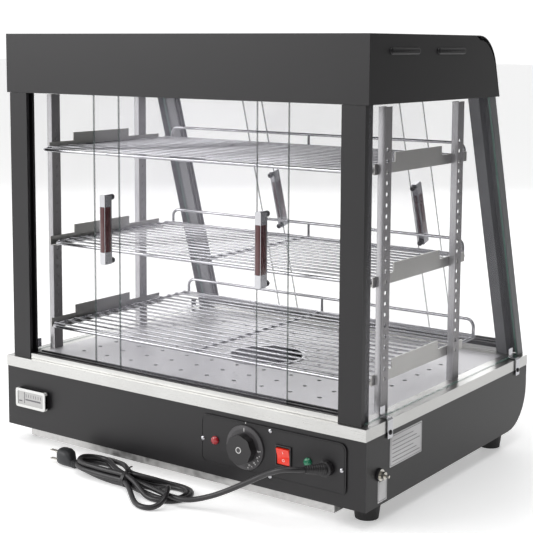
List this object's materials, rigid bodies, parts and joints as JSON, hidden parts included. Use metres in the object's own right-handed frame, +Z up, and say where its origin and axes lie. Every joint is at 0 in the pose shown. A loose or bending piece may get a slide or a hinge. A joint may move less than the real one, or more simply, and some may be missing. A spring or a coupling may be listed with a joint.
{
  "type": "hot food display case",
  "caption": "Countertop heated food display case with a black base and hood, sliding glass doors front and rear, wire shelves, a water pan, a thermostat and a mains lead.",
  "frame": {"origin": "on the counter, under the middle of the case's bounding box (without the lead), at the underside of the feet", "axes": "+Z up, -Y towards the customer's side with the controls, +X to the right as seen from there"},
  "size_m": [0.6748, 0.609, 0.6381],
  "materials": {
    "satin_black": "satin black powder coat on folded steel sheet",
    "stainless": "brushed stainless sheet, satin",
    "galvanised": "plain galvanised sheet, dull",
    "chrome": "bright chromed wire and spun bowl",
    "glass": "clear toughened float glass, 4 mm",
    "black_plastic": "matt black moulded plastic",
    "rocker_red": "glossy translucent red plastic",
    "lamp_red": "glossy dark red lens",
    "lamp_green": "glossy dark green lens",
    "handle_brown": "dark red-brown moulded grip between chromed ends",
    "rubber": "black rubber",
    "cord_black": "black flexible sheath",
    "heater": "oxidised steel sheath",
    "ceramic": "off-white terminal block",
    "lamp_glass": "frosted tubular lamp"
  },
  "bodies": {
    "case": {"base_body": "satin_black", "control_plate": "satin_black", "hood_shell": "satin_black", "front_post_left": "satin_black", "front_post_right": "satin_black", "rear_post_left": "satin_black", "rear_post_right": "satin_black", "deck_rim": "stainless", "perforated_deck": "stainless", "front_sill": "stainless", "rear_sill": "stainless", "upright_left_front": "stainless", "upright_left_rear": "stainless", "upright_right_front": "stainless", "upright_right_rear": "stainless", "bracket_left_top": "stainless", "bracket_left_middle": "stainless", "bracket_left_bottom": "stainless", "bracket_right_top": "stainless", "bracket_right_middle": "stainless", "bracket_right_bottom": "stainless", "bottom_pan": "galvanised", "hood_ceiling": "galvanised", "earth_terminal": "galvanised", "side_glass_left": "glass", "side_glass_right": "glass", "thermostat_body": "black_plastic", "switch_body": "black_plastic", "cord_gland": "black_plastic", "cord_plug": "black_plastic", "thermometer": "black_plastic", "front_door_track": "black_plastic", "rear_door_track": "black_plastic", "red_lamp": "lamp_red", "green_lamp": "lamp_green", "foot_left_front": "rubber", "foot_left_rear": "rubber", "foot_right_front": "rubber", "foot_right_rear": "rubber", "cord_lead": "cord_black", "cord_hank": "cord_black", "heating_element": "heater", "terminal_block": "ceramic", "lamp": "lamp_glass"},
    "front_door_left_body": {"front_door_left": "glass", "front_handle_left": "handle_brown"},
    "front_door_right_body": {"front_door_right": "glass", "front_handle_right": "handle_brown"},
    "rear_door_left_body": {"rear_door_left": "glass", "rear_handle_left": "handle_brown"},
    "rear_door_right_body": {"rear_door_right": "glass", "rear_handle_right": "handle_brown"},
    "top_shelf": {"shelf_top": "chrome"},
    "middle_shelf": {"shelf_middle": "chrome"},
    "bottom_shelf": {"shelf_bottom": "chrome"},
    "pan": {"water_pan": "chrome"},
    "dial": {"dial_skirt": "black_plastic", "thermostat_knob": "black_plastic"},
    "rocker": {"power_rocker": "rocker_red"}
  },
  "joints": [
    {"name": "front_left_door_slide", "type": "slide", "parent": "case", "child": "front_door_left_body", "axis": [1, 0, 0], "range_m": [-0.1372, 0]},
    {"name": "front_right_door_slide", "type": "slide", "parent": "case", "child": "front_door_right_body", "axis": [1, 0, 0], "range_m": [0, 0.1022]},
    {"name": "rear_left_door_slide", "type": "slide", "parent": "case", "child": "rear_door_left_body", "axis": [1, 0, 0], "range_m": [-0.1505, 0]},
    {"name": "rear_right_door_slide", "type": "slide", "parent": "case", "child": "rear_door_right_body", "axis": [1, 0, 0], "range_m": [0, 0.089]},
    {"name": "top_shelf_lift", "type": "slide", "parent": "case", "child": "top_shelf", "axis": [0, 0, 1], "range_m": [0, 0.03]},
    {"name": "middle_shelf_lift", "type": "slide", "parent": "case", "child": "middle_shelf", "axis": [0, 0, 1], "range_m": [0, 0.03]},
    {"name": "bottom_shelf_lift", "type": "slide", "parent": "case", "child": "bottom_shelf", "axis": [0, 0, 1], "range_m": [0, 0.03]},
    {"name": "water_pan_lift", "type": "slide", "parent": "case", "child": "pan", "axis": [0, 0, 1], "range_m": [0, 0.03]},
    {"name": "thermostat_turn", "type": "hinge", "parent": "case", "child": "dial", "pos_m": [0.13185, -0.2401, 0.0765], "axis": [0, 1, 0], "range_deg": [0, 270]},
    {"name": "rocker_tip", "type": "hinge", "parent": "case", "child": "rocker", "pos_m": [0.19545, -0.2381, 0.0765], "axis": [1, 0, 0], "range_deg": [-20, 0]}
  ]
}
